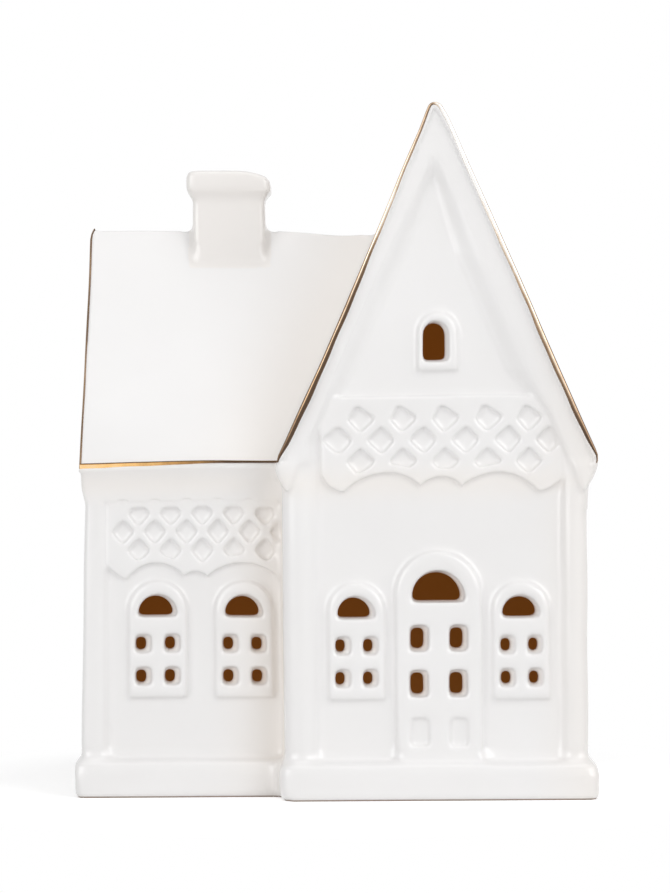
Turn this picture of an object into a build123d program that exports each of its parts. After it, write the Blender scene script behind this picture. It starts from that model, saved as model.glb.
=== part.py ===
"""Porcelain tealight house: a tall gabled block with a lower wing, cast hollow and open underneath.

Millimetres. +X is the viewer's right, -Y the front, +Z up. The foot rim stands on z = 0 and the
footprint is centred on the origin. A length called a depth is measured back from the front of the
plinth. The tealight stands on the table inside the tall block.
"""
import os
from math import atan, degrees

from build123d import *

# Overall size; the width is that of the two blocks
overall_height = 175.0
overall_depth = 95.3

# Ware and foot
wall = 4.0
plinth_height = 9.5
plinth_lip = 2.5
step_lip = 1.3
plinth_corner = 2.6
plinth_top_round = 1.6
plinth_foot_round = 0.8

# Tall block
gable_wall_width = 76.5
eave_height = 84.7
eave_overhang = 1.85
eave_edge = 1.9
apex_cut = 2.4
roof_thickness = 4.0

# Wing
wing_width = 50.8
wing_set_back = 11.0
wing_ridge_height = 147.0
wing_verge_overhang = 0.9
wing_lean = 0.3

# Relief of the front faces
panel_recess = 2.3
wing_recess = 1.8
left_post_width = 8.8
right_post_width = 7.0
wing_post_width = 5.8
wing_panel_drop = 9.4
board_width = 9.1
board_lift = 0.6
board_bevel = 2.5
wing_bevel = 1.4

# Cove under the eaves
cove_height = 8.3
cove_root = 1.5
cove_edge = 0.25
cove_bend_shares = (0.3, 0.62)

# Pointed ends of the verge
kneeler_drop = 7.2
kneeler_width = 5.9
kneeler_lift = 0.6
kneeler_outer_shares = ((0.03, 0.26), (0.22, 0.63), (0.51, 0.99))
kneeler_inner_shares = ((0.58, 1.0), (0.8, 0.6), (1.0, 0.0))

# Lustre bead on the roof edges
bead = 1.3
bead_length = 1.6

# Raised surrounds and the lights pierced through them
surround_relief = 1.8
door_relief = 2.1
blind_depth = 1.4
surround_round = 1.0
pane_reduction = 1.5
fan_reduction = 0.95
light_corner = 0.6

# How far to the left of its pocket each row of lights was cut by hand
gable_window_cuts = (0.75, 0.35)
wing_window_cuts = (0.75, 0.65)
door_cut = 0.5
attic_cut = 0.55
attic_light_shift = 0.5

# Windows: their panes and fanlight follow the window's own size
window_sill = 15.7
window_gap = 2.6
wing_window_width_share = 0.336
wing_window_place_shares = (0.283, 0.774)
window_height_share = 0.394
pane_place_share = 0.243
pane_width_share = 0.267
pane_height_share = 0.159
pane_row_shares = (0.1875, 0.463)
fan_width_share = 0.644
fan_height_share = 0.196
fan_foot_share = 0.689

# Door, with blind panels under its lights
door_width = 21.6
door_height_share = 0.705
door_pane_place_share = 0.227
door_pane_width_share = 0.213
door_pane_shares = ((0.374, 0.128), (0.587, 0.125))
door_blind_shares = ((0.142, 0.136),)
door_fan_width_share = 0.6
door_fan_height_share = 0.15
door_fan_foot_share = 0.757

# Attic light
attic_width = 10.2
attic_height = 14.6
attic_rise = 22.8
attic_light_width_share = 0.635
attic_light_height_share = 0.69
attic_sill_share = 0.16

# Lattice friezes
lattice_relief = 1.5
mesh_slope_share = 0.18
mesh_least_share = 0.3
gable_frieze_rise = 16.7
gable_frieze_height = 24.1
gable_pitch = 10.65
gable_mesh = 3.15
gable_band = 2.7
gable_first_row = 5.55
gable_mesh_offset = 0.9
gable_scallop = 4.7
gable_scallop_shares = ((1.0, 0.94), (0.93, 0.34), (0.8, 0.0), (0.52, 1.0), (0.17, 0.3), (0.0, 0.8))
wing_frieze_height_share = 0.271
wing_pitch = 8.1
wing_pitch_height = 9.26
wing_mesh = 2.55
wing_mesh_offset = 1.7
wing_band = 2.4
wing_first_row = 1.1
wing_scallop = 4.2
wing_edge_shares = ((0.0, 0.9), (0.28, 0.36), (0.6, 0.0))
wing_middle_shares = ((-0.36, 0.21), (0.0, 0.5), (0.36, 0.21))
wing_last_shares = ((-0.13, 0.14), (-0.06, 0.12), (0.0, 0.17))

# Chimney
chimney_width = 20.6
chimney_depth = 13.6
chimney_rise = 15.0
chimney_place_share = 0.487
chimney_narrowing = 0.8
chimney_round = 1.8
cap_height = 5.1
cap_cove = 2.6
cap_lip = 1.75
cap_round = 1.5
flue_wall = 3.2

# Tealight
cup_diameter = 38.0
cup_height = 15.5
cup_skin = 0.5
wax_level = 12.6
wick_diameter = 1.6
wick_top = 20.0
sustainer_diameter = 12.0
sustainer_skin = 0.6
sustainer_neck = 3.4

# Derived positions across the front
right_foot = (gable_wall_width + wing_width) / 2 + plinth_lip
gable_right = right_foot - plinth_lip
gable_left = gable_right - gable_wall_width
gable_x = (gable_left + gable_right) / 2
wing_left = gable_left - wing_width
wing_panel_left = wing_left + wing_post_width
left_post_edge = gable_left + left_post_width
right_post_edge = gable_right - right_post_width
panel_x = (left_post_edge + right_post_edge) / 2
panel_width = right_post_edge - left_post_edge
roof_half = gable_wall_width / 2 + eave_overhang
roof_peak = overall_height + apex_cut
gable_rise = (roof_peak - eave_height - eave_edge) / roof_half
foot_half = roof_half + eave_edge / gable_rise
apex_round = apex_cut / ((1 + gable_rise**2) ** 0.5 - 1)
roof_reach = roof_thickness * (1 + gable_rise**2) ** 0.5 / gable_rise

# Derived heights
wall_height = eave_height - plinth_height
cove_foot = eave_height - cove_height
wing_panel_top = eave_height - wing_panel_drop
gable_frieze_top = eave_height + gable_frieze_rise
wing_frieze_height = wall_height * wing_frieze_height_share
window_foot = plinth_height + window_sill
window_height = wall_height * window_height_share
door_height = wall_height * door_height_share
attic_foot = eave_height + attic_rise
chimney_top = wing_ridge_height + chimney_rise

# Derived widths of the lights
gable_window_width = (panel_width - door_width) / 2 - 2 * window_gap
gable_window_spacing = door_width + gable_window_width + 2 * window_gap
wing_window_width = (gable_left - wing_panel_left) * wing_window_width_share

# Derived depths
pilaster_face = plinth_lip
board_face = pilaster_face - board_lift
verge_face = pilaster_face - eave_overhang
panel_face = pilaster_face + panel_recess
gable_inner = panel_face + wall
wing_pilaster_face = wing_set_back + plinth_lip
wing_eave_face = wing_pilaster_face - eave_overhang
wing_panel_face = wing_pilaster_face + wing_recess
wing_inner = wing_panel_face + wall
back_face = overall_depth - plinth_lip
back_inner = back_face - wall
back_eave = back_face + eave_overhang
wing_ridge = (wing_eave_face + back_eave) / 2
wing_run = (back_eave - wing_eave_face) / 2
wing_rise = (wing_ridge_height - eave_height) / wing_run
wing_reach = roof_thickness * (1 + wing_rise**2) ** 0.5 / wing_rise
wing_bead_reach = bead * (1 + wing_rise**2) ** 0.5 / wing_rise
gable_bead_reach = bead * (1 + gable_rise**2) ** 0.5 / gable_rise
tealight_depth = (gable_inner + back_inner) / 2
above = overall_height * 2


def y_at(depth):
    return depth - overall_depth / 2


def block(x0, x1, d0, d1, z0, z1):
    return Pos((x0 + x1) / 2, y_at((d0 + d1) / 2), (z0 + z1) / 2) * Box(x1 - x0, d1 - d0, z1 - z0)


def along_depth(points, d0, d1):
    """Solid whose outline is drawn in x and z and which runs from one depth to another."""
    outline = Polyline(*[(x, y_at(d0), z) for x, z in points], close=True)
    return extrude(Face(Wire(outline.edges())), amount=d1 - d0, dir=(0, 1, 0))


def along_width(points, x0, x1):
    """Solid whose outline is drawn in depth and z and which runs from one x to another."""
    outline = Polyline(*[(x0, y_at(d), z) for d, z in points], close=True)
    return extrude(Face(Wire(outline.edges())), amount=x1 - x0, dir=(1, 0, 0))


def from_curves(curves, d0, d1):
    return extrude(Face(Wire(curves)), amount=d1 - d0, dir=(0, 1, 0))


def arc_points(a, middle, b, steps=8):
    """Points on the circle through three given points, from the first to the last."""
    arc = ThreePointArc((a[0], a[1], 0), (middle[0], middle[1], 0), (b[0], b[1], 0))
    spots = [arc.position_at(i / steps) for i in range(steps + 1)]
    return [(p.X, p.Y) for p in spots]


def whole(solid):
    """One solid of a boolean result that may come back as a list or a compound."""
    found = solid.solids()
    return found[0] if len(found) == 1 else Compound(children=list(found))


# Volumes that the shell is cut from

def gable_outline(reach):
    """Outline above the eaves, set in from the planes of the tall roof by a horizontal reach."""
    half = foot_half - reach
    peak = roof_peak - reach * gable_rise
    return [(gable_x - half, eave_height), (gable_x, peak), (gable_x + half, eave_height)]


def under_gable():
    half = gable_wall_width / 2
    shoulder = foot_half - roof_reach
    return along_depth(
        [
            (gable_x - half, plinth_height),
            (gable_x - half, eave_height),
            (gable_x - shoulder, eave_height),
            (gable_x, roof_peak - roof_reach * gable_rise),
            (gable_x + shoulder, eave_height),
            (gable_x + half, eave_height),
            (gable_x + half, plinth_height),
        ],
        panel_face,
        back_face,
    )


def tall_body(d0, d1):
    """Everything under the tall roof and above the eaves: round at the ridge, blunt at the eaves."""
    body = along_depth(gable_outline(0), d0, d1)
    body = fillet(body.edges().filter_by(Axis.Y).sort_by(Axis.Z)[-1], apex_round)
    return body & block(gable_x - roof_half, gable_x + roof_half, d0, d1, eave_height, above)


def under_wing(x0, x1):
    front = wing_eave_face + wing_reach
    back = back_eave - wing_reach
    return along_width(
        [
            (wing_panel_face, plinth_height),
            (wing_panel_face, eave_height),
            (front, eave_height),
            (wing_ridge, wing_ridge_height - wing_reach * wing_rise),
            (back, eave_height),
            (back_face, eave_height),
            (back_face, plinth_height),
        ],
        x0,
        x1,
    )


def wing_room(x0, x1):
    front = wing_inner
    back = back_inner
    front_top = eave_height + (wing_inner - wing_eave_face - wing_reach) * wing_rise
    back_top = eave_height + (back_eave - wing_reach - back_inner) * wing_rise
    return along_width(
        [
            (front, plinth_height),
            (front, front_top),
            (wing_ridge, wing_ridge_height - wing_reach * wing_rise),
            (back, back_top),
            (back, plinth_height),
        ],
        x0,
        x1,
    )


def wing_slab(depth_in, x0, x1):
    """Roof skin of the wing, from its outer planes in by a horizontal reach."""
    peak = wing_ridge_height
    return along_width(
        [
            (wing_eave_face, eave_height),
            (wing_ridge, peak),
            (back_eave, eave_height),
            (back_eave - depth_in, eave_height),
            (wing_ridge, peak - depth_in * wing_rise),
            (wing_eave_face + depth_in, eave_height),
        ],
        x0,
        x1,
    )


def gable_slab(depth_in, d0, d1):
    """Roof skin of the tall block, from its outer planes in by a horizontal reach."""
    return tall_body(d0, d1) - along_depth(gable_outline(depth_in), d0, d1)


def leaning_end(outset, thickness):
    """Left end of the wing above the eaves: it leans in towards the ridge."""
    foot = wing_left - outset
    peak = foot + wing_lean
    return along_depth(
        [
            (foot, plinth_height),
            (foot, eave_height),
            (peak, wing_ridge_height),
            (peak + thickness, wing_ridge_height),
            (foot + thickness, eave_height),
            (foot + thickness, plinth_height),
        ],
        wing_eave_face,
        back_eave,
    )


# Foot rim

def plinth_halves():
    outer_left = gable_left - step_lip
    tall = block(outer_left, right_foot, 0, overall_depth, 0, plinth_height)
    low = block(-right_foot, outer_left, wing_set_back, overall_depth, 0, plinth_height)
    foot = whole(tall + low)
    corners = foot.edges().filter_by(Axis.Z)
    foot = fillet(corners, plinth_corner)
    foot = fillet(foot.faces().sort_by(Axis.Z)[-1].edges(), plinth_top_round)
    foot = fillet(foot.faces().sort_by(Axis.Z)[0].edges(), plinth_foot_round)
    room = block(gable_left + wall, gable_right - wall, gable_inner, back_inner, -wall, above)
    low_room = block(wing_left + wall, gable_left + wall, wing_inner, back_inner, -wall, above)
    ring = foot - room - low_room
    split = outer_left
    tall_side = block(split, right_foot + wall, -wall, overall_depth + wall, -wall, above)
    low_side = block(-right_foot - wall, split, -wall, overall_depth + wall, -wall, above)
    return whole(ring & tall_side), whole(ring & low_side)


# Lights: a shallow formed pocket in the surround and a smaller hole cut through the wall

def pane(x, z, width, height, d0, d1):
    shape = Pos(x, y_at((d0 + d1) / 2), z) * Box(width, d1 - d0, height)
    return fillet(shape.edges().filter_by(Axis.Y), min(light_corner, width / 3, height / 3))


def fanlight(x, foot, width, height, d0, d1):
    y = y_at(d0)
    sill = Line((x - width / 2, y, foot), (x + width / 2, y, foot))
    arch = ThreePointArc(
        (x + width / 2, y, foot), (x, y, foot + height), (x - width / 2, y, foot)
    )
    return from_curves([sill, arch], d0, d1)


def arched(x, foot, width, height, d0, d1):
    y = y_at(d0)
    spring = foot + height - width / 2
    left, right = x - width / 2, x + width / 2
    curves = [
        Line((left, y, foot), (right, y, foot)),
        Line((right, y, foot), (right, y, spring)),
        ThreePointArc((right, y, spring), (x, y, foot + height), (left, y, spring)),
        Line((left, y, spring), (left, y, foot)),
    ]
    return from_curves(curves, d0, d1)


def light_cutters(shape, x, z, width, height, face, relief, back, cut):
    """Pocket through the surround, and the smaller hole behind it, cut off centre through the wall."""
    pocket = shape(x, z, width, height, face - relief, face)
    reduction = pane_reduction if shape is pane else fan_reduction
    lift = 0 if shape is pane else reduction / 2
    small = (width - reduction, height - reduction)
    return pocket, shape(x - cut, z + lift, *small, face, back)


def surround(x, foot, width, height, relief, face, blind, pockets):
    """Raised arched slab on a wall face, with its pockets cut through and blind panels sunk in."""
    slab = arched(x, foot, width, height, face - relief, face)
    front = slab.faces().sort_by(Axis.Y)[0]
    slab = fillet(front.edges(), surround_round)
    for cutter in pockets:
        slab = slab - cutter
    for bx, bz, bw, bh in blind:
        slab = slab - pane(bx, bz, bw, bh, face - relief, face - relief + blind_depth)
    return whole(slab)


def window_lights(x, foot, width, height):
    """Shape, place and size of the panes and fanlight of one window."""
    spots = [(side * width * pane_place_share, height * z) for z in pane_row_shares for side in (-1, 1)]
    size = (width * pane_width_share, height * pane_height_share)
    panes = [(pane, x + dx, foot + z, *size) for dx, z in spots]
    fan = (width * fan_width_share, height * fan_height_share)
    return panes + [(fanlight, x, foot + height * fan_foot_share, *fan)]


def door_lights(x, foot, width, height):
    """Lights of the door, and the blind panels under them."""
    reach, wide = width * door_pane_place_share, width * door_pane_width_share
    panes, blind = [], []
    for side in (-1, 1):
        for z, tall in door_pane_shares:
            panes.append((pane, x + side * reach, foot + height * z, wide, height * tall))
        for z, tall in door_blind_shares:
            blind.append((x + side * reach, foot + height * z, wide, height * tall))
    fan = (width * door_fan_width_share, height * door_fan_height_share)
    return panes + [(fanlight, x, foot + height * door_fan_foot_share, *fan)], blind


# Lattice friezes

def scallop(spots, d0, d1, top, lift):
    """Region above a scalloped line; spots are (x, z) of pendants and arch tops in turn."""
    line = []
    for i in range(0, len(spots) - 2, 2):
        line += arc_points(spots[i], spots[i + 1], spots[i + 2])[:-1]
    line.append(spots[-1])
    line = [(x, z + lift) for x, z in line]
    return along_depth(line + [(spots[-1][0], top), (spots[0][0], top)], d0, d1)


def mesh_cutters(x, z, pitch, rise, mesh, width, height, d0, d1):
    """Tapered diamond cutters on a staggered grid, wider at the front."""
    cutters = []
    stretch = rise / pitch
    count = int(width / 2 / pitch) + 1
    rows = int(2 * height / rise)
    for row in range(rows):
        level = z - row * rise / 2
        shift = pitch / 2 if row % 2 else 0
        for k in range(-count, count + 1):
            cx = x + k * pitch + shift
            slope = (d1 - d0) * mesh_slope_share
            wide, small = mesh + slope, mesh - slope
            faces = []
            for reach, d in ((wide, d0), (small, d1)):
                corners = [
                    (cx - reach, y_at(d), level),
                    (cx, y_at(d), level + reach * stretch),
                    (cx + reach, y_at(d), level),
                    (cx, y_at(d), level - reach * stretch),
                ]
                faces.append(Face(Wire(Polyline(*corners, close=True).edges())))
            cutters.append(loft(faces))
    return cutters


def pierce(body, cutters, allowed, mesh):
    """Cut the part of each cutter that lies in the allowed region, leaving out slivers."""
    least = mesh_least_share * mesh * mesh * lattice_relief
    for cutter in cutters:
        bite = cutter & allowed
        if bite is None:
            continue
        pieces = [s for s in bite.solids() if s.volume > least]
        for piece in pieces:
            body = body - piece
    return body


def largest(shape):
    return shape.solids().sort_by(SortBy.VOLUME)[-1]


def gable_frieze(bounds):
    half = panel_width / 2
    foot = gable_frieze_top - gable_frieze_height
    middle = panel_x + gable_mesh_offset
    left = [(middle - half * u, foot + gable_scallop * v) for u, v in gable_scallop_shares]
    right = [(middle + half * u, foot + gable_scallop * v) for u, v in gable_scallop_shares]
    line = left + right[-2::-1]
    front, top = panel_face - lattice_relief, gable_frieze_top
    body = scallop(line, front, panel_face, top, 0)
    allowed = scallop(line, front - wall, panel_face, top - gable_band, gable_band)
    start = top - gable_first_row
    size = (panel_width, start - foot)
    cutters = mesh_cutters(
        middle, start, gable_pitch, gable_pitch, gable_mesh, *size, front, panel_face
    )
    body = pierce(body, cutters, allowed, gable_mesh)
    for solid in bounds:
        body = body - solid
    return largest(body)


def wing_frieze(bounds, left, right):
    middle, pitch = (left + right) / 2, wing_pitch
    foot = wing_panel_top - wing_frieze_height
    line = [(left + pitch * u, foot + wing_scallop * v) for u, v in wing_edge_shares]
    line.append((wing_window_x(0), foot + wing_scallop))
    line += [(middle + pitch * u, foot + wing_scallop * v) for u, v in wing_middle_shares]
    line.append((wing_window_x(1), foot + wing_scallop))
    line += [(right + pitch * u, foot + wing_scallop * v) for u, v in wing_last_shares]
    front, top = wing_panel_face - lattice_relief, wing_panel_top
    body = scallop(line, front, wing_panel_face, top, 0)
    allowed = scallop(line, front - wall, wing_panel_face, top + wall, wing_band)
    x, start = middle + pitch / 2 + wing_mesh_offset, top + wing_first_row
    size = (right - left, start - foot)
    cutters = mesh_cutters(
        x, start, pitch, wing_pitch_height, wing_mesh, *size, front, wing_panel_face
    )
    body = pierce(body, cutters, allowed, wing_mesh)
    for solid in bounds:
        body = body - solid
    return largest(body)


def wing_window_x(index):
    return wing_panel_left + (gable_left - wing_panel_left) * wing_window_place_shares[index]


# Front frame of the tall block

def panel_outline(extra):
    """Sunk front panel of the tall block, made wider all round by a horizontal extra."""
    half = panel_width / 2 + extra
    peak = roof_peak - (board_width - extra) * gable_rise
    left, right = panel_x - half, panel_x + half
    left_turn = peak - (gable_x - left) * gable_rise
    right_turn = peak - (right - gable_x) * gable_rise
    low = plinth_height - wall
    return [(left, low), (left, left_turn), (gable_x, peak), (right, right_turn), (right, low)]


def sunk_panel():
    """Cutter for the panel recess, with a soft bevel from the frame down to the panel."""
    faces = []
    for extra, depth in ((2 * board_bevel, 2 * board_face - panel_face), (0, panel_face)):
        corners = [(x, y_at(depth), z) for x, z in panel_outline(extra)]
        faces.append(Face(Wire(Polyline(*corners, close=True).edges())))
    return loft(faces, ruled=True)


def board():
    return tall_body(board_face, panel_face) - sunk_panel()


def wing_post():
    """Flat corner post of the wing, its outer arris rounded and its inner one bevelled."""
    post = block(
        wing_left, wing_panel_left, wing_pilaster_face, wing_panel_face, plinth_height, wing_panel_top
    )
    front = post.faces().sort_by(Axis.Y)[0]
    post = fillet([front.edges().filter_by(Axis.Z).sort_by(Axis.X)[0]], wing_bevel)
    front = post.faces().sort_by(Axis.Y)[0]
    return chamfer([front.edges().filter_by(Axis.Z).sort_by(Axis.X)[-1]], wing_bevel)


def gable_post(x0, x1):
    """Half-round corner post, standing proud of the panel by the panel's recess."""
    a, b = (x0, y_at(panel_face), plinth_height), (x1, y_at(panel_face), plinth_height)
    crown = ((x0 + x1) / 2, y_at(pilaster_face), plinth_height)
    section = Face(Wire([ThreePointArc(a, crown, b), Line(b, a)]))
    post = extrude(section, amount=eave_height - plinth_height, dir=(0, 0, 1))
    return whole(post - sunk_panel())


def kneeler(side):
    """Pointed end of the verge, hanging over the pilaster."""
    curves = [(0, 0)]
    outer = [(kneeler_width * u, kneeler_drop * v) for u, v in kneeler_outer_shares]
    inner = [(kneeler_width * u, kneeler_drop * v) for u, v in kneeler_inner_shares]
    curves += arc_points(*outer) + arc_points(*inner)
    points = [(gable_x + side * (roof_half - u), eave_height - v) for u, v in curves]
    return along_depth(points, board_face - kneeler_lift, panel_face)


def cove_curve(tip):
    """Cove from the wall face out to the foot of the bead, as (outward, height)."""
    low = eave_height - bead
    out, up = cove_bend_shares
    middle = (tip * out, cove_foot + (low - cove_foot) * up)
    return arc_points((0, cove_foot), middle, (tip - cove_edge, low))


def cove_profile(tip):
    """Cove under an eave: out from the wall face and up to the foot of the bead."""
    low, inside = eave_height - bead, tip - bead
    top = [(inside, low), (inside, eave_height), (-cove_root, eave_height)]
    return cove_curve(tip) + top + [(-cove_root, cove_foot)]


def gable_cornice(side, d0, d1):
    face = gable_x + side * gable_wall_width / 2
    points = [(face + side * u, z) for u, z in cove_profile(eave_overhang)]
    return along_depth(points, d0, d1)


def wing_front_cornice():
    low = eave_height - bead
    points = [(wing_pilaster_face - u, z) for u, z in cove_curve(eave_overhang)]
    inside = wing_eave_face + bead
    points += [(inside, low), (inside, eave_height), (wing_panel_face, eave_height)]
    points += [(wing_panel_face, wing_panel_top), (wing_pilaster_face, wing_panel_top)]
    return along_width(points, wing_left, gable_left)


def wing_back_cornice():
    points = [(back_face + u, z) for u, z in cove_profile(eave_overhang)]
    return along_width(points, wing_left, gable_left)


# Chimney

def chimney_parts():
    ridge_end = gable_x - (roof_peak - wing_ridge_height) / gable_rise
    end = wing_left - wing_verge_overhang
    x = end + (ridge_end - end) * chimney_place_share
    y = y_at(wing_ridge)
    base = wing_ridge_height - chimney_depth * wing_rise
    cove_z = chimney_top - cap_height - cap_cove
    slim = 2 * chimney_narrowing
    lean = degrees(atan(chimney_narrowing / (cove_z - base)))
    profile = Pos(x, y, base) * Rectangle(chimney_width, chimney_depth)
    profile = fillet(profile.vertices(), chimney_round)
    stack = extrude(profile, amount=cove_z - base, taper=lean)
    neck_w, neck_d = chimney_width - slim, chimney_depth - slim
    neck = Pos(x, y, cove_z) * Rectangle(neck_w, neck_d)
    neck = fillet(neck.vertices(), chimney_round / 2)
    flare = Pos(x, y, cove_z + cap_cove) * Rectangle(neck_w + 2 * cap_lip, neck_d + 2 * cap_lip)
    flare = fillet(flare.vertices(), chimney_round)
    cove = loft([neck.face(), flare.face()])
    top = Pos(x, y, chimney_top - cap_height / 2) * Box(
        neck_w + 2 * cap_lip, neck_d + 2 * cap_lip, cap_height
    )
    top = fillet(top.edges().filter_by(Axis.Z), chimney_round)
    top = fillet(top.faces().sort_by(Axis.Z)[-1].edges(), cap_round)
    flue = Pos(x, y, (base + chimney_top) / 2) * Box(
        neck_w - 2 * flue_wall, neck_d - 2 * flue_wall, chimney_top
    )
    return whole(stack - flue), whole(top + cove - flue), flue


# Tealight

def tealight():
    centre = Pos(gable_x, y_at(tealight_depth), 0)
    radius = cup_diameter / 2
    bore = radius - cup_skin
    shell = Pos(0, 0, cup_height / 2) * Cylinder(radius, cup_height)
    shell = fillet(shell.edges().sort_by(Axis.Z)[0], cup_skin)
    hollow = Pos(0, 0, cup_skin + cup_height / 2) * Cylinder(bore, cup_height)
    cup = shell - hollow
    wick_radius = wick_diameter / 2
    plate = Pos(0, 0, cup_skin + sustainer_skin / 2) * Cylinder(sustainer_diameter / 2, sustainer_skin)
    collar = Pos(0, 0, cup_skin + sustainer_neck / 2) * Cylinder(
        wick_radius + sustainer_skin, sustainer_neck
    )
    bore_cut = Pos(0, 0, cup_skin + sustainer_neck) * Cylinder(wick_radius, 2 * sustainer_neck)
    sustainer = plate + collar - bore_cut
    wick = Pos(0, 0, (cup_skin + wick_top) / 2) * Cylinder(wick_radius, wick_top - cup_skin)
    wax = Pos(0, 0, (cup_skin + wax_level) / 2) * Cylinder(bore, wax_level - cup_skin)
    wax = wax - wick - sustainer
    names = ("tealight_cup", "wick_sustainer", "tealight_wick", "tealight_wax")
    parts = (cup, sustainer, wick, wax)
    return {name: centre * whole(part) for name, part in zip(names, parts)}


# Assembly

def walls(holes):
    tall = under_gable()
    left_in, right_in = gable_left + wall, gable_right - wall
    front = tall & block(gable_left, gable_right, panel_face, gable_inner, 0, above)
    right = tall & block(right_in, gable_right, gable_inner, back_inner, 0, above)
    back = tall & block(gable_left, gable_right, back_inner, back_face, 0, above)
    turn = tall & block(gable_left, left_in, gable_inner, wing_inner, 0, above)
    low = under_wing(wing_left, gable_left) - tall_body(panel_face, back_eave)
    wing_front = low & block(wing_left, gable_left, wing_panel_face, wing_inner, 0, above)
    wing_back = low & block(wing_left, gable_left, back_inner, back_face, 0, above)
    end = leaning_end(0, wall) & under_wing(wing_left, gable_left)
    end = end & block(wing_left - wall, gable_left, wing_inner, back_inner, 0, above)
    for cutter in holes["gable"]:
        front = front - cutter
    for cutter in holes["wing"]:
        wing_front = wing_front - cutter
    return {
        "gable_front_wall": front,
        "gable_right_wall": right,
        "gable_back_wall": back,
        "gable_left_return": turn,
        "wing_front_wall": wing_front,
        "wing_back_wall": wing_back,
        "wing_left_wall": end,
    }


def roofs(flue):
    tall = gable_slab(roof_reach, panel_face, back_eave)
    tall = tall - wing_room(wing_left, gable_x)
    end_x = wing_left - wing_verge_overhang
    low = wing_slab(wing_reach, end_x, gable_x)
    keep = leaning_end(wing_verge_overhang, gable_x - wing_left)
    low = (low & keep) - tall_body(panel_face, back_eave) - flue
    return tall, largest(low)


def gilding():
    front = gable_slab(gable_bead_reach, verge_face, verge_face + bead_length)
    back = gable_slab(gable_bead_reach, back_eave - bead_length, back_eave)
    edge = gable_x + roof_half
    low = eave_height - bead
    eave = block(edge - bead, edge, verge_face, back_eave, low, eave_height)
    end_x = wing_left - wing_verge_overhang
    verge = wing_slab(wing_bead_reach, end_x, gable_left) & leaning_end(wing_verge_overhang, bead_length)
    wing_eave = block(end_x, gable_left, wing_eave_face, wing_eave_face + bead, low, eave_height)
    wing_back = block(end_x, gable_left, back_eave - bead, back_eave, low, eave_height)
    return {
        "gable_verge_gilding": front,
        "gable_back_gilding": back,
        "gable_eave_gilding": eave,
        "wing_verge_gilding": verge,
        "wing_eave_gilding": wing_eave,
        "wing_back_gilding": wing_back,
    }


def dressed_opening(x, foot, width, height, relief, face, back, cut, shapes, blind=()):
    """A surround and the holes cut through the wall behind it."""
    cutters = [light_cutters(*shape, face, relief, back, cut) for shape in shapes]
    pockets = [pocket for pocket, hole in cutters]
    solid = surround(x, foot, width, height, relief, face, blind, pockets)
    return solid, [hole for pocket, hole in cutters]


def surrounds():
    """All raised surrounds, and the holes cut through the walls behind them."""
    parts, holes = {}, {"gable": [], "wing": []}
    for index, name in enumerate(("gable_window_left", "gable_window_right")):
        x = panel_x + (index - 0.5) * gable_window_spacing
        size = (gable_window_width, window_height)
        shapes = window_lights(x, window_foot, *size)
        parts[name], found = dressed_opening(
            x, window_foot, *size, surround_relief, panel_face, gable_inner,
            gable_window_cuts[index], shapes,
        )
        holes["gable"] += found
    for index, name in enumerate(("wing_window_left", "wing_window_right")):
        x = wing_window_x(index)
        size = (wing_window_width, window_height)
        shapes = window_lights(x, window_foot, *size)
        parts[name], found = dressed_opening(
            x, window_foot, *size, surround_relief, wing_panel_face, wing_inner,
            wing_window_cuts[index], shapes,
        )
        holes["wing"] += found
    size = (door_width, door_height)
    shapes, blind = door_lights(panel_x, plinth_height, *size)
    parts["door_surround"], found = dressed_opening(
        panel_x, plinth_height, *size, door_relief, panel_face, gable_inner, door_cut, shapes, blind
    )
    holes["gable"] += found
    size = (attic_width, attic_height)
    light = (attic_width * attic_light_width_share, attic_height * attic_light_height_share)
    x, sill = panel_x - attic_light_shift, attic_foot + attic_height * attic_sill_share
    parts["attic_surround"], found = dressed_opening(
        panel_x, attic_foot, *size, surround_relief, panel_face, gable_inner, attic_cut,
        [(arched, x, sill, *light)],
    )
    holes["gable"] += found
    return parts, holes


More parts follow.
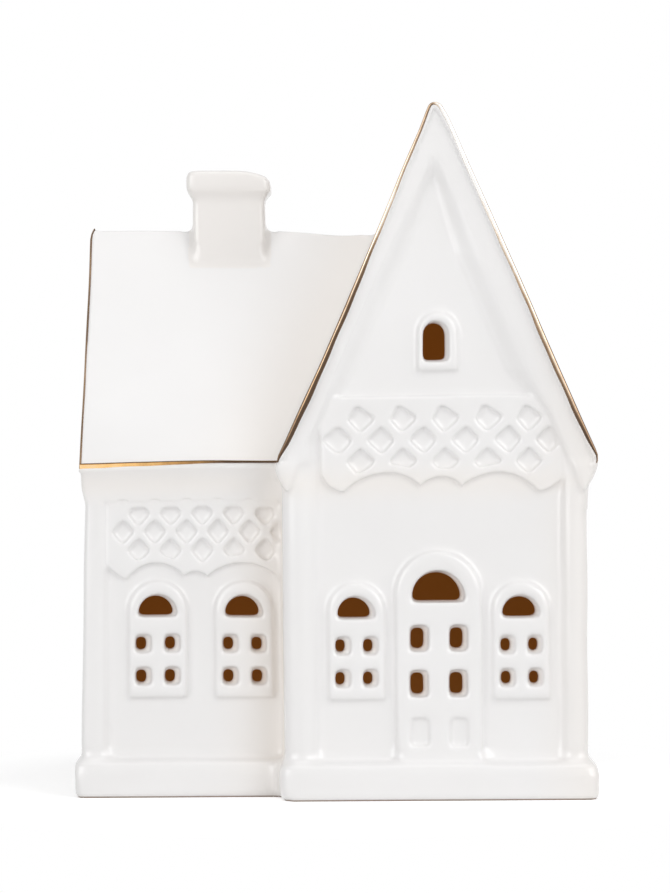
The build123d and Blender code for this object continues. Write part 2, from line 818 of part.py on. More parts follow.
def build():
    parts = {}
    parts["gable_plinth"], parts["wing_plinth"] = plinth_halves()
    raised, holes = surrounds()
    parts.update(walls(holes))
    parts.update(raised)
    stack, cap, flue = chimney_parts()
    roof_body = along_width(
        [(wing_eave_face, eave_height), (wing_ridge, wing_ridge_height), (back_eave, eave_height)],
        wing_left,
        gable_x,
    )
    parts["chimney_stack"] = whole(stack - roof_body)
    parts["chimney_cap"] = cap
    parts["gable_roof"], parts["wing_roof"] = roofs(flue)
    parts.update(gilding())

    left_post = gable_post(gable_left, left_post_edge)
    right_post = gable_post(right_post_edge, gable_right)
    low_post = wing_post()
    front_bead = parts["gable_verge_gilding"]
    frame = board() - front_bead
    wing_cove = wing_front_cornice()
    back_cove = wing_back_cornice()
    right_cove = gable_cornice(1, panel_face, back_face)
    left_cove = gable_cornice(-1, panel_face, wing_pilaster_face)
    left_cove = left_cove - wing_cove - parts["wing_roof"] - parts["wing_eave_gilding"]
    parts["gable_pilaster_left"] = left_post
    parts["gable_pilaster_right"] = right_post
    parts["wing_pilaster"] = low_post
    parts["bargeboard"] = frame
    parts["wing_cornice_front"] = wing_cove
    parts["wing_cornice_back"] = back_cove
    parts["gable_cornice_right"] = right_cove
    parts["gable_cornice_left"] = left_cove
    for name, side, post, cove in (
        ("kneeler_left", -1, left_post, left_cove),
        ("kneeler_right", 1, right_post, right_cove),
    ):
        parts[name] = largest(kneeler(side) - post - cove - parts["gable_eave_gilding"])
    for name in ("gable_front_wall", "gable_right_wall", "gable_left_return", "gable_back_wall"):
        parts[name] = parts[name] - right_cove - left_cove
    for name in ("wing_back_wall", "wing_left_wall"):
        parts[name] = parts[name] - back_cove
    parts["gable_roof"] = parts["gable_roof"] - parts["gable_back_gilding"]
    parts["wing_roof"] = parts["wing_roof"] - parts["wing_verge_gilding"]
    parts["gable_lattice"] = gable_frieze([left_post, right_post, frame])
    parts["wing_lattice"] = wing_frieze([low_post, wing_cove], wing_panel_left, gable_left)
    parts.update(tealight())
    return parts


if __name__ == "__main__":
    os.makedirs("parts", exist_ok=True)
    for node, shape in build().items():
        export_step(whole(shape), f"parts/{node}.step")
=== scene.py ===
"""Porcelain tealight house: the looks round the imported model. Metres, +X right, -Y front, +Z up."""
import math

import bmesh
import bpy
import numpy as np
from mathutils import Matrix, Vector


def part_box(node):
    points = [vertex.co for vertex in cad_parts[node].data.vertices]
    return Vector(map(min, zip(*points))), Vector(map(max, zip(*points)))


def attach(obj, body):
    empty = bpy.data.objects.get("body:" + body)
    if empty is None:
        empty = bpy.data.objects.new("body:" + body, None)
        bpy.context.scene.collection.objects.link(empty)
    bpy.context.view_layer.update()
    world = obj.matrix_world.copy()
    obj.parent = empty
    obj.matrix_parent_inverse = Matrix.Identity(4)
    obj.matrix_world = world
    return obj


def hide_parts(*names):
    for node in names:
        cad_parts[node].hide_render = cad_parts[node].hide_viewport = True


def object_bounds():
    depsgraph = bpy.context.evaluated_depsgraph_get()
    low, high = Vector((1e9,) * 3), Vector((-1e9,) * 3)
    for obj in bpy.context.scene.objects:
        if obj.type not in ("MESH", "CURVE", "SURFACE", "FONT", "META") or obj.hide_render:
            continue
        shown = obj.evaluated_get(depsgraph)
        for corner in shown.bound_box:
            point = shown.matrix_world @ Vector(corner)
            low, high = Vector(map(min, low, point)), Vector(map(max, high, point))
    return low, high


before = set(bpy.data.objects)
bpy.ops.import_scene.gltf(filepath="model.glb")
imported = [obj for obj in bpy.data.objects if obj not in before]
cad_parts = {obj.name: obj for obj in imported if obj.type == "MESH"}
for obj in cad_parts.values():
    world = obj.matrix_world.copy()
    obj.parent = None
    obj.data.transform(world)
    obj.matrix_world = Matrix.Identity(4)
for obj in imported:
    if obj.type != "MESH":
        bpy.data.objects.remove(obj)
cad_low, cad_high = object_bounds()

MM = 0.001

# The tall roof's planes end in blunt tips at the eaves and meet above its rounded ridge, and the free
# edge of the wing's roof leans in
EAVE_EDGE = 1.9 * MM
APEX_CUT = 2.4 * MM
WING_LEAN = 0.3 * MM
TEALIGHT_NODES = ("tealight_cup", "tealight_wax", "wick_sustainer", "tealight_wick")
GILDED = [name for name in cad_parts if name.endswith("_gilding")]
PORCELAIN_NODES = [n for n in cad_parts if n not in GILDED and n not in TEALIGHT_NODES]

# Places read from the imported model
tall_low, tall_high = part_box("gable_roof")
wing_low, wing_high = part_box("wing_roof")
front_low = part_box("gable_verge_gilding")[0]
wing_verge_low, wing_verge_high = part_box("wing_verge_gilding")
eave_z = tall_low.z
gable_x = (tall_low.x + tall_high.x) / 2
tall_half = (tall_high.x - tall_low.x) / 2
tall_peak = tall_high.z + APEX_CUT
tall_rise = (tall_peak - eave_z - EAVE_EDGE) / tall_half
apex_round = APEX_CUT / (math.hypot(1, tall_rise) - 1)
wing_ridge_y = (wing_verge_low.y + wing_verge_high.y) / 2
wing_half = (wing_verge_high.y - wing_verge_low.y) / 2
wing_rise = (wing_verge_high.z - eave_z) / wing_half
left_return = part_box("gable_left_return")[0].x
wing_left_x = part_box("wing_left_wall")[0].x
plinth_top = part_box("gable_plinth")[1].z
step_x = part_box("gable_plinth")[0].x
wing_front_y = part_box("wing_plinth")[0].y
wing_wall_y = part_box("wing_front_wall")[0].y


# Mesh helpers

def new_object(name, mesh):
    obj = bpy.data.objects.new(name, mesh)
    bpy.context.scene.collection.objects.link(obj)
    return obj


def vertices_of(mesh):
    flat = np.zeros(len(mesh.vertices) * 3, np.float32)
    mesh.vertices.foreach_get("co", flat)
    return flat.reshape(-1, 3).astype(float)


def set_vertices(mesh, spots):
    mesh.vertices.foreach_set("co", spots.astype(np.float32).ravel())
    mesh.update()


def mesh_from(made, name):
    """The finished mesh of a bmesh, with all its faces turned outward."""
    bmesh.ops.recalc_face_normals(made, faces=made.faces)
    mesh = bpy.data.meshes.new(name)
    made.to_mesh(mesh)
    made.free()
    return mesh


def joined(nodes, name):
    """One mesh holding copies of several CAD nodes."""
    spots, faces, start = [], [], 0
    for node in nodes:
        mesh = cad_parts[node].data
        spots.append(vertices_of(mesh))
        faces += [tuple(i + start for i in p.vertices) for p in mesh.polygons]
        start += len(mesh.vertices)
    made = bpy.data.meshes.new(name)
    made.from_pydata(np.concatenate(spots).tolist(), [], faces)
    return new_object(name, made)


def apply_modifiers(obj):
    """Replaces the object's mesh by what its modifiers make of it."""
    graph = bpy.context.evaluated_depsgraph_get()
    mesh = bpy.data.meshes.new_from_object(obj.evaluated_get(graph))
    obj.modifiers.clear()
    old, obj.data = obj.data, mesh
    bpy.data.meshes.remove(old)


def smooth_shaded(obj, angle=None):
    obj.data.polygons.foreach_set("use_smooth", [True] * len(obj.data.polygons))
    if angle is not None:
        obj.data.set_sharp_from_angle(angle=math.radians(angle))
    return obj


# The ware was pressed and dressed by hand: nothing on it is quite straight

def waves(spots, seed, size, amount):
    """Three smooth fields of low waves, one for each direction."""
    rng = np.random.default_rng(seed)
    shift = np.zeros_like(spots)
    for axis in range(3):
        for _ in range(5):
            direction = rng.normal(size=3)
            direction *= 2 * math.pi / (size * np.linalg.norm(direction) * rng.uniform(0.8, 1.6))
            shift[:, axis] += np.sin(spots @ direction + rng.uniform(0, 2 * math.pi))
    return shift * amount / 5 ** 0.5


def falloff(distance, width):
    return np.exp(-((distance / width) ** 2))


# Height in mm, and how far the tall roof's left verge leans in there
LEAN_HEIGHTS = (83.8, 86.3, 88, 92, 100, 108, 124, 132, 140, 148, 164, 168, 173)
VERGE_LEANS = (0.2, 1.0, 1.05, 1.15, 1.3, 1.45, 1.4, 1.25, 1.0, 0.75, 0.5, 0.4, 0)

# How far the ware sags, spreads and leans elsewhere
RIDGE_SAG = 1.3 * MM
EAVE_DROOP = 0.6 * MM
COVE_FLARE = 0.85 * MM
WALL_SPREAD = 1.1 * MM
VERGE_PUSH = 0.7 * MM
CAP_FALL = 1.7 * MM
CLAY_BLOB = 1.0 * MM

# Where these bends begin: heights, then the chimney cap's left end
SAG_FROM, SPREAD_BELOW, CAP_FROM = 128 * MM, 74 * MM, 156 * MM
CAP_LEFT = -25.5 * MM

# The clay blob's place, and the depth and height from which the bargeboard's cove is widened
BLOB_X, BLOB_Z = 37.6 * MM, 10.6 * MM
COVE_BEFORE, COVE_ABOVE = -40, 98

# The bent skin stays this far inside the model's box
BOX_MARGIN = 1e-6

# Sideways distance in from the roof plane in mm, and how far the cove moves inward there
LEFT_COVE = ((3, 6.6, 9.1, 13, 18), (0, -0.6, 1.2, 0.5, 0))
RIGHT_COVE = ((3, 6.6, 9.1, 13.5, 20), (0, 1.0, 3.3, 2.6, 0))

# Height in mm, and how far the gable lattice leans to the right there
SLANT_HEIGHTS = (80, 83, 85.5, 88, 90.5, 93, 96.5, 99.5)
LATTICE_SLANTS = (0, 0.9, 1.25, 1.1, 0.8, 1.0, 1.3, 0)


def tall_depth(x, z):
    """How deep each place lies under the planes of the tall roof."""
    return (tall_peak - np.abs(x - gable_x) * tall_rise - z) / math.hypot(1, tall_rise)


def gable_half(z):
    """Half the tall gable's width at each height."""
    return (tall_peak - z) / tall_rise


def verge_lean(x, z):
    """Pulls the left verge of the tall roof in, front to back."""
    from_left = (x - gable_x + gable_half(z)) / MM
    near = np.interp(from_left, (-8, -2, 3, 7), (0, 1, 1, 0))
    near *= np.clip((gable_x - x) / (2 * MM), 0, 1)
    return np.interp(z / MM, LEAN_HEIGHTS, VERGE_LEANS, left=0) * near * MM


def board_spread(x, y, z):
    """Widens the soft cove inside the bargeboard, most of all on the right, but not by the apex."""
    half = gable_half(z) / MM
    from_middle = (x - gable_x) / MM
    left = np.interp(half + from_middle, *LEFT_COVE)
    right = np.interp(half - from_middle, *RIGHT_COVE)
    left *= np.clip((3 - from_middle) / 6, 0, 1)
    right *= np.clip((3 + from_middle) / 6, 0, 1)
    front = np.clip((COVE_BEFORE - y / MM) / 1.5, 0, 1) * np.clip((z / MM - COVE_ABOVE) / 10, 0, 1)
    return (left - right) * front * np.clip((half - 9) / 9, 0, 1) * MM


def verge_push(x, z):
    """Pushes the right verge of the tall roof out a little."""
    on_right = np.clip((x - gable_x) / (3 * MM), 0, 1) * (z > eave_z - 12 * MM)
    return VERGE_PUSH * falloff(tall_depth(x, z), 7 * MM) * on_right


def ridge_sag(x, y, z):
    """The wing's ridge dips beside the tall roof."""
    near_ridge = falloff(y - wing_ridge_y, 22 * MM) * np.clip((z - SAG_FROM) / (14 * MM), 0, 1)
    in_sag = falloff(x - (gable_x - 22 * MM), 11 * MM)
    return RIDGE_SAG * near_ridge * in_sag * (np.abs(x - gable_x) > 12 * MM)


def eave_droop(x, y, z):
    """The wing's front eave hangs lower towards its free end."""
    at_eave = falloff(z - eave_z, 9 * MM) * falloff(y - wing_low.y, 8 * MM)
    over_wing = np.clip((left_return - x) / (6 * MM), 0, 1)
    return EAVE_DROOP * at_eave * over_wing * np.clip((left_return - x) / (48 * MM), 0, 1)


def wall_flare(x, z):
    """The wing's left wall stands out at its foot, and its cove under the eave."""
    at_corner = np.clip((wing_left_x + 4 * MM - x) / (4 * MM), 0, 1)
    cove = np.clip((z - (eave_z - 11 * MM)) / (6 * MM), 0, 1)
    cove = cove * cove * (3 - 2 * cove) * np.clip((eave_z - 0.6 * MM - z) / (0.8 * MM), 0, 1)
    spread = np.clip((SPREAD_BELOW - z) / (60 * MM), 0, 1)
    return at_corner * (COVE_FLARE * cove + WALL_SPREAD * spread)


def cap_fall(x, z):
    """The chimney cap slopes down to the right."""
    on_cap = np.clip((z - CAP_FROM) / (3 * MM), 0, 1) * (x < left_return)
    return CAP_FALL * on_cap * np.clip((x - CAP_LEFT) / (9 * MM), 0, 1) ** 2


def lattice_slant(x, y, z):
    """The rows of the gable lattice lean to the right."""
    mesh_low, mesh_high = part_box("gable_lattice")
    slant = np.interp(z, np.array(SLANT_HEIGHTS) * MM, LATTICE_SLANTS)
    taper = np.clip((x - mesh_low.x) / (5 * MM), 0, 1) * np.clip((mesh_high.x - x) / (16 * MM), 0, 1)
    return slant * MM * taper * (y < mesh_high.y + 0.4 * MM)


def clay_blob(x, y, z):
    """A blob of clay left in the corner at the door's foot."""
    blob = falloff(x - BLOB_X, 1.9 * MM) * falloff(z - BLOB_Z, 1.5 * MM) * falloff(y - front_low.y, 5 * MM)
    return CLAY_BLOB * blob


def hand_made(spots):
    """Bends places on the house as its making and firing did, leaving the foot flat."""
    x, y, z = spots.T
    shift = waves(spots, 3, 70 * MM, 0.22 * MM) + waves(spots, 8, 24 * MM, 0.07 * MM)
    shift[:, 2] -= ridge_sag(x, y, z)
    shift[:, 2] -= eave_droop(x, y, z)
    shift[:, 2] -= cap_fall(x, z)
    shift[:, 0] -= wall_flare(x, z)
    shift[:, 0] += verge_push(x, z)
    shift[:, 0] += verge_lean(x, z) + board_spread(x, y, z)
    shift[:, 0] += lattice_slant(x, y, z)
    shift[:, 1] -= clay_blob(x, y, z)
    lift = np.clip(z / (12 * MM), 0, 1)[:, None]
    moved = spots + shift * lift
    return np.clip(moved, np.array(cad_low) + BOX_MARGIN, np.array(cad_high) - BOX_MARGIN)


# Glazed porcelain body

CRISP_NODES = [n for n in PORCELAIN_NODES if n.endswith("_surround") or "_window_" in n]
LATTICE_NODES = ("gable_lattice", "wing_lattice")
VOXEL, QUICK_VOXEL = 0.4 * MM, 0.6 * MM
SOFT_PASSES, POOLED_PASSES = 45, 90
KEPT_FACES = 0.16
FLAT_FOOT = 0.25 * MM
BARS_THINNED = {"gable_lattice": 0.30 * MM, "wing_lattice": 0.26 * MM}
CRISP_SHARE, LATTICE_SHARE, GOLD_SHARE = 0.75, 0.2, 0.22


def inside_boxes(spots, nodes, margin):
    """True for the places that lie in the box of one of these nodes."""
    inside = np.zeros(len(spots), bool)
    for node in nodes:
        low, high = (np.array(corner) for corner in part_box(node))
        inside |= ((spots > low - margin) & (spots < high + margin)).all(axis=1)
    return inside


def near_gold(spots):
    """True for the places close to a gilded edge of either roof."""
    x, y, z = spots.T
    at_ends = (y < front_low.y + 2.5 * MM) | (y > tall_high.y - 2.5 * MM)
    verge = (tall_depth(x, z) < 2.2 * MM) & at_ends & (z > eave_z - 1 * MM)
    free_end = (x < wing_verge_low.x + 2.2 * MM) & (z > eave_z - 0.5 * MM)
    wing_eaves = (x < left_return) & (np.abs(z - eave_z) < 1.6 * MM) & (
        (y < wing_low.y + 2.2 * MM) | (y > wing_high.y - 2.2 * MM)
    )
    return verge | free_end | wing_eaves


def soften_shares(spots):
    """How far each place melts in the glaze: broad forms most, windows and gilded edges least."""
    shares = np.ones(len(spots))
    shares[inside_boxes(spots, LATTICE_NODES, np.array((0.5, 0.6, 0.5)) * MM)] = LATTICE_SHARE
    shares[near_gold(spots)] = GOLD_SHARE
    shares[inside_boxes(spots, CRISP_NODES, np.array((1.2, 4.4, 1.2)) * MM)] = CRISP_SHARE
    return shares


def pooling(spots):
    """True where the glaze pools: on the plinth, in the roofs' valley and in the inner corners."""
    x, y, z = spots.T
    foot = np.abs(z - plinth_top) < 3.2 * MM
    wing_depth = (wing_high.z - np.abs(y - wing_ridge_y) * wing_rise - z) / math.hypot(1, wing_rise)
    valley = (np.abs(tall_depth(x, z)) < 3.4 * MM) & (np.abs(wing_depth) < 3.4 * MM) & (x < gable_x)
    plinth_corner = (np.abs(x - step_x) < 3.4 * MM) & (np.abs(y - wing_front_y) < 3.4 * MM) & (z < plinth_top)
    wall_corner = (np.abs(x - left_return) < 2.6 * MM) & (np.abs(y - wing_wall_y) < 2.6 * MM)
    wall_corner &= z < eave_z - 2 * MM
    low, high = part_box("chimney_stack")
    level = (x > low.x - 3 * MM) & (x < high.x + 3 * MM) & (y > low.y - 3 * MM) & (y < high.y + 3 * MM)
    stack_foot = level & (np.abs(wing_depth) < 3.0 * MM)
    plinth_edge = (np.abs(x - step_x) < 3.4 * MM) & (y < front_low.y + 6 * MM) & (z < plinth_top)
    places = foot | valley | plinth_corner | wall_corner | stack_foot | plinth_edge
    return places & ~near_gold(spots)


def smooth_pass(obj, name, groups, iterations):
    """Softens the places of each group by its share."""
    group = obj.vertex_groups.new(name=name)
    for share, places in groups:
        group.add(np.flatnonzero(places).tolist(), float(share), "REPLACE")
    soften = obj.modifiers.new(name, "SMOOTH")
    soften.factor = 0.5
    soften.iterations = iterations
    soften.vertex_group = name
    apply_modifiers(obj)
    obj.vertex_groups.clear()


def widen_pits(mesh):
    """Thins the lattice bars sideways and fills the cut pits along the wing lattice's top."""
    spots = vertices_of(mesh)
    normals = np.zeros(len(spots) * 3, np.float32)
    mesh.vertex_normals.foreach_get("vector", normals)
    normals = normals.reshape(-1, 3)
    for node, thinned in BARS_THINNED.items():
        bars = inside_boxes(spots, (node,), np.array((0, 0.1, 0)) * MM)
        spots[bars, 0] -= thinned * normals[bars, 0]
        spots[bars, 2] -= thinned * normals[bars, 2]
    low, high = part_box("wing_lattice")
    x, y, z = spots.T
    top = (x > low.x) & (x < high.x) & (y < high.y + 0.4 * MM)
    top &= (z > high.z - 2.1 * MM) & (z < high.z + 0.3 * MM)
    spots[:, 1] = np.where(top, np.minimum(y, low.y), y)
    set_vertices(mesh, spots)


def glazed_body():
    """All porcelain nodes run together into one skin, softened as the glaze softens it."""
    body = joined(PORCELAIN_NODES + GILDED, "porcelain_body")
    melt = body.modifiers.new("melt", "REMESH")
    melt.mode = "VOXEL"
    melt.voxel_size = VOXEL
    apply_modifiers(body)
    widen_pits(body.data)
    shares = soften_shares(vertices_of(body.data))
    smooth_pass(body, "soft", [(share, shares == share) for share in np.unique(shares)], SOFT_PASSES)
    smooth_pass(body, "pooled", [(1.0, pooling(vertices_of(body.data)))], POOLED_PASSES)
    spots = vertices_of(body.data)
    spots[:, 2] = np.where(spots[:, 2] < FLAT_FOOT, 0.0, spots[:, 2])
    set_vertices(body.data, hand_made(spots))
    thin = body.modifiers.new("thin", "DECIMATE")
    thin.ratio = KEPT_FACES
    apply_modifiers(body)
    return smooth_shaded(body)


body = glazed_body()


# Gilded edges

SECTION_COUNT = 40
SECTION_SQUARE = 0.6
BEAD_STEP = 1.6 * MM
EAVE_RAISE = 0.7 * MM
PROUD_OF_EDGE, PROUD_OF_FACE = 0.12 * MM, 0.18 * MM


def section():
    """Evenly spaced places round a rounded square from 0 to 1 each way."""
    angles = np.linspace(0, 2 * math.pi, 721)
    c, s = np.cos(angles), np.sin(angles)
    u = 0.5 - 0.5 * np.sign(c) * np.abs(c) ** SECTION_SQUARE
    v = 0.5 - 0.5 * np.sign(s) * np.abs(s) ** SECTION_SQUARE
    walked = np.concatenate([[0], np.cumsum(np.hypot(np.diff(u), np.diff(v)))])
    at = np.linspace(0, walked[-1], SECTION_COUNT, endpoint=False)
    return np.interp(at, walked, u), np.interp(at, walked, v)


def bead(name, path, inward, over, width, reach, painted_reflection, seed):
    """Rounded coat along an edge: width runs inward down one face, reach over the other.

    The painted reflection, from dark brown at 0 to a bright painted highlight at 1, is kept at each vertex."""
    rng = np.random.default_rng(seed)
    made = bmesh.new()
    layer = made.verts.layers.float.new("painted_reflection")
    across, through = section()
    rings = []
    phases = rng.uniform(0, 2 * math.pi, 8)
    length = 0.0
    for i, spot in enumerate(path):
        if i:
            length += (spot - path[i - 1]).length
        t = length / (9 * MM)
        share = i / (len(path) - 1)
        wave = (math.sin(t + phases[0]) + math.sin(2.3 * t + phases[1]) + math.sin(5.1 * t + phases[2])) / 3
        other = (math.sin(0.8 * t + phases[3]) + math.sin(2.9 * t + phases[4])) / 2
        drift = 0.5 * (math.sin(0.35 * t + phases[5]) + math.sin(1.7 * t + phases[6]))
        wide = width(share) * (1 + 0.09 * wave) * MM
        deep = reach(share) * (1 + 0.10 * other) * MM
        ring = []
        for u, v in zip(across, through):
            out = spot + inward[i] * (u * wide - PROUD_OF_EDGE) + over[i] * (v * deep - PROUD_OF_FACE)
            vertex = made.verts.new(out)
            vertex[layer] = painted_reflection(share, u, v, drift)
            ring.append(vertex)
        rings.append(ring)
    sides = len(across)
    for first, second in zip(rings, rings[1:]):
        for k in range(sides):
            made.faces.new((first[k], first[(k + 1) % sides], second[(k + 1) % sides], second[k]))
    made.faces.new(rings[0][::-1])
    made.faces.new(rings[-1])
    mesh = mesh_from(made, name)
    set_vertices(mesh, hand_made(vertices_of(mesh)))
    return smooth_shaded(new_object(name, mesh), 55)


def streak(u, place, width):
    return math.exp(-(((u - place) / width) ** 2))


# Along the front verge, left eave to apex to right eave, one place a row: share of the way, width in mm,
# the level of the painted reflection, the height, place and width of its one painted highlight streak,
# and its painted dark outer line
VERGE_ROWS = (
    (0.0, 0.4, 0.16, 0.1, 0.3, 0.07, 0),
    (0.03, 1.3, 0.15, 0.15, 0.3, 0.07, 0),
    (0.06, 1.5, 0.15, 0.3, 0.3, 0.07, 0),
    (0.086, 1.6, 0.17, 0.45, 0.31, 0.08, 0),
    (0.225, 1.45, 0.22, 0.55, 0.33, 0.09, 0),
    (0.28, 1.2, 0.34, 0.6, 0.34, 0.12, 0),
    (0.3, 1.1, 0.5, 0.4, 0.4, 0.16, 0),
    (0.34, 1.05, 0.6, 0.3, 0.45, 0.2, 0),
    (0.4, 1.0, 0.46, 0.35, 0.4, 0.16, 0),
    (0.455, 0.8, 0.32, 0.3, 0.4, 0.2, 0),
    (0.49, 0.75, 0.22, 0.3, 0.4, 0.2, 0),
    (0.505, 0.9, 0.6, 0.5, 0.45, 0.22, 0.4),
    (0.54, 0.95, 1.0, 0.3, 0.45, 0.24, 0.85),
    (0.635, 1.2, 0.95, 0.3, 0.45, 0.22, 0.85),
    (0.77, 1.35, 0.46, 0.5, 0.42, 0.2, 0.85),
    (0.914, 1.4, 0.26, 0.45, 0.4, 0.13, 0.85),
    (0.955, 1.2, 0.13, 0.28, 0.36, 0.12, 0.5),
    (1.0, 0.3, 0.16, 0.3, 0.5, 0.2, 0.3),
)
(
    VERGE_SHARES, VERGE_WIDTHS, VERGE_LEVELS, HIGHLIGHT_HEIGHTS, HIGHLIGHT_PLACES, HIGHLIGHT_WIDTHS, EDGE_LINES,
) = zip(*VERGE_ROWS)


def verge_painted_reflection(share, u, v, drift):
    """Painted reflection: dark brown with one painted highlight streak; on the right nearly all painted
    bright inside a painted dark line.
    """
    level, height, place, width, line = (
        np.interp(share, VERGE_SHARES, row)
        for row in (VERGE_LEVELS, HIGHLIGHT_HEIGHTS, HIGHLIGHT_PLACES, HIGHLIGHT_WIDTHS, EDGE_LINES)
    )
    face = level + height * (1 + 0.2 * drift) * streak(u, place + 0.03 * drift, width)
    side = 0.40 + 0.25 * drift * drift
    return (face * (1 - v) + side * v) * (1 - line * streak(u, 0.0, 0.16))


# Painted reflection on the wing's verge: dark brown with a faint painted highlight
def dark_painted_reflection(share, u, v, drift):
    return 0.24 + 0.10 * streak(u, 0.15, 0.2) + 0.10 * drift


def eave_painted_reflection(share, u, v, drift):
    """Painted reflection: a bright orange painted highlight at the free end, under a painted dark brown line
    that runs on to the tall front.
    """
    bright = max(0.0, 1 - share / 0.72) ** 0.5
    below = min(1.0, max(0.0, (u - 0.16) / 0.14))
    return 0.13 + (0.56 + 0.06 * drift) * bright * below + 0.10 * max(0.0, 1 - 2 * share)


# Painted reflection on the other gold bands: brown with one painted highlight streak
def plain_painted_reflection(share, u, v, drift):
    return 0.38 + 0.32 * streak(u, 0.4, 0.22) + 0.15 * drift


def run_between(a, b):
    """Evenly spaced places from a up to, not including, b."""
    count = max(2, int((b - a).length / BEAD_STEP))
    return [a.lerp(b, i / count) for i in range(count)]


def verge_walk(slope):
    """Places and inward directions in x and z along the outline of the tall roof."""
    centre = tall_high.z - apex_round
    turn = math.atan2(tall_rise, 1)
    start_z = eave_z + EAVE_EDGE
    length = apex_round * tall_rise
    straight = (tall_peak - start_z) * slope / tall_rise - length
    steps = int(straight / BEAD_STEP)
    walk = []
    for side in (-1, 1):
        inward = (-side * tall_rise / slope, -1 / slope)
        run = []
        for i in range(steps + 1):
            down = (length + straight * i / steps) / slope
            run.append(((gable_x + side * down, tall_peak - down * tall_rise), inward))
        # Round the blunt tip at the eave
        if side < 0:
            run.append(((gable_x - tall_half, eave_z + 0.55 * EAVE_EDGE), (0.97, -0.25)))
            run.append(((gable_x - tall_half + 0.15 * MM, eave_z + 0.1 * EAVE_EDGE), (0.99, -0.1)))
        else:
            run.append(((gable_x + tall_half, eave_z + 0.55 * EAVE_EDGE), (-0.99, -0.1)))
            run.append(((gable_x + tall_half - 0.1 * MM, eave_z + 0.15 * EAVE_EDGE), (-0.99, 0.0)))
            run.append(((gable_x + tall_half - 0.35 * MM, eave_z - 0.1 * EAVE_EDGE), (-0.97, 0.1)))
        walk.append(run)
    bend = []
    for i in range(1, 8):
        angle = math.pi / 2 + turn * (1 - i / 4)
        c, s = math.cos(angle), math.sin(angle)
        bend.append(((gable_x + apex_round * c, centre + apex_round * s), (-c, -s)))
    return walk[0][::-1] + bend + walk[1]


def verge_reach(share):
    """How far the gold runs back over the edge in mm, less at the eave tips."""
    return min(2.2, 0.7 + 60 * (1 - share), 0.7 + 60 * share)


def gable_band(name, y, back, seed, width, painted_reflection):
    """Gold on one verge of the tall roof, from eave tip over the apex to eave tip."""
    slope = math.hypot(1, tall_rise)
    inward, path = [], []
    for spot, direction in verge_walk(slope):
        path.append(Vector((spot[0], y, spot[1])))
        inward.append(Vector((direction[0], 0, direction[1])))
    over = [Vector((0, back, 0))] * len(path)
    return bead(name, path, inward, over, width, verge_reach, painted_reflection, seed)


def wing_verge_band():
    """Gold on the free end of the wing's roof, front eave to ridge to back eave."""
    front = Vector((wing_verge_low.x, wing_verge_low.y, eave_z))
    ridge = Vector((wing_verge_low.x + WING_LEAN, wing_ridge_y, wing_verge_high.z))
    back = Vector((wing_verge_low.x, wing_verge_high.y, eave_z))
    slope = math.hypot(1, wing_rise)
    in_front = Vector((0, wing_rise, -1)) / slope
    in_back = Vector((0, -wing_rise, -1)) / slope
    first, second = run_between(front, ridge), run_between(ridge, back)[1:] + [back]
    path = first + [ridge] + second
    path = [p + Vector((0.8 * MM * max(0.0, 1 - (ridge.z - p.z) / (2.8 * MM)) ** 2, 0, 0)) for p in path]
    inward = [in_front] * len(first) + [Vector((0, 0, -slope))] + [in_back] * len(second)
    over = [Vector((1, 0, 0))] * len(path)
    return bead("wing_verge_gold", path, inward, over, lambda t: 1.5, lambda t: 0.55, dark_painted_reflection, 5)


def eave_band(name, start, end, inward, width, painted_reflection, seed):
    up = Vector((0, 0, EAVE_RAISE))
    path = [p + up for p in run_between(start, end) + [end]]
    over = [inward] * len(path)
    down = [Vector((0, 0, -1))] * len(path)
    return bead(name, path, down, over, width, lambda t: 1.4, painted_reflection, seed)


def front_width(share):
    return np.interp(share, VERGE_SHARES, VERGE_WIDTHS)


back_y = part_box("gable_back_gilding")[1].y
gold_bands = {
    "gable_verge_gilding": gable_band("gable_verge_gold", front_low.y, 1, 11, front_width, verge_painted_reflection),
    "gable_back_gilding": gable_band("gable_back_gold", back_y, -1, 12, lambda t: 1.5, plain_painted_reflection),
    "gable_eave_gilding": eave_band(
        "gable_eave_gold", Vector((tall_high.x, front_low.y + 2.4 * MM, eave_z)),
        Vector((tall_high.x, back_y, eave_z)), Vector((-1, 0, 0)), lambda t: 1.5, plain_painted_reflection, 13,
    ),
    "wing_verge_gilding": wing_verge_band(),
    "wing_eave_gilding": eave_band(
        "wing_eave_gold", Vector((wing_verge_low.x, wing_low.y, eave_z)),
        Vector((left_return, wing_low.y, eave_z)), Vector((0, 1, 0)),
        lambda t: 1.5 - 0.9 * min(1.0, 1.2 * t), eave_painted_reflection, 14,
    ),
    "wing_back_gilding": eave_band(
        "wing_back_gold", Vector((wing_verge_low.x, wing_verge_high.y, eave_z)),
        Vector((left_return, wing_verge_high.y, eave_z)), Vector((0, -1, 0)),
        lambda t: 1.4, plain_painted_reflection, 15,
    ),
}


# Tealight

cup_low, cup_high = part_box("tealight_cup")
wick_low, wick_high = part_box("tealight_wick")
light_x, light_y = (cup_low.x + cup_high.x) / 2, (cup_low.y + cup_high.y) / 2
CUP_RADIUS = (cup_high.x - cup_low.x) / 2


def lathe(name, outline, turns, ripple=None):
    """Turned closed piece on the tealight's axis, from places of radius and height in mm."""
    made = bmesh.new()
    rings = []
    for radius, height in outline:
        if radius == 0:
            rings.append([made.verts.new((light_x, light_y, height * MM))])
            continue
        ring = []
        for k in range(turns):
            angle = 2 * math.pi * k / turns
            r, z = (radius, height) if ripple is None else ripple(angle, radius, height)
            spot = (light_x + r * math.cos(angle) * MM, light_y + r * math.sin(angle) * MM, z * MM)
            ring.append(made.verts.new(spot))
        rings.append(ring)
    for first, second in zip(rings, rings[1:]):
        for k in range(turns):
            after = (k + 1) % turns
            if len(first) == 1:
                made.faces.new((first[0], second[k], second[after]))
            elif len(second) == 1:
                made.faces.new((first[k], second[0], first[after]))
            else:
                made.faces.new((first[k], second[k], second[after], first[after]))
    return smooth_shaded(new_object(name, mesh_from(made, name)), 50)


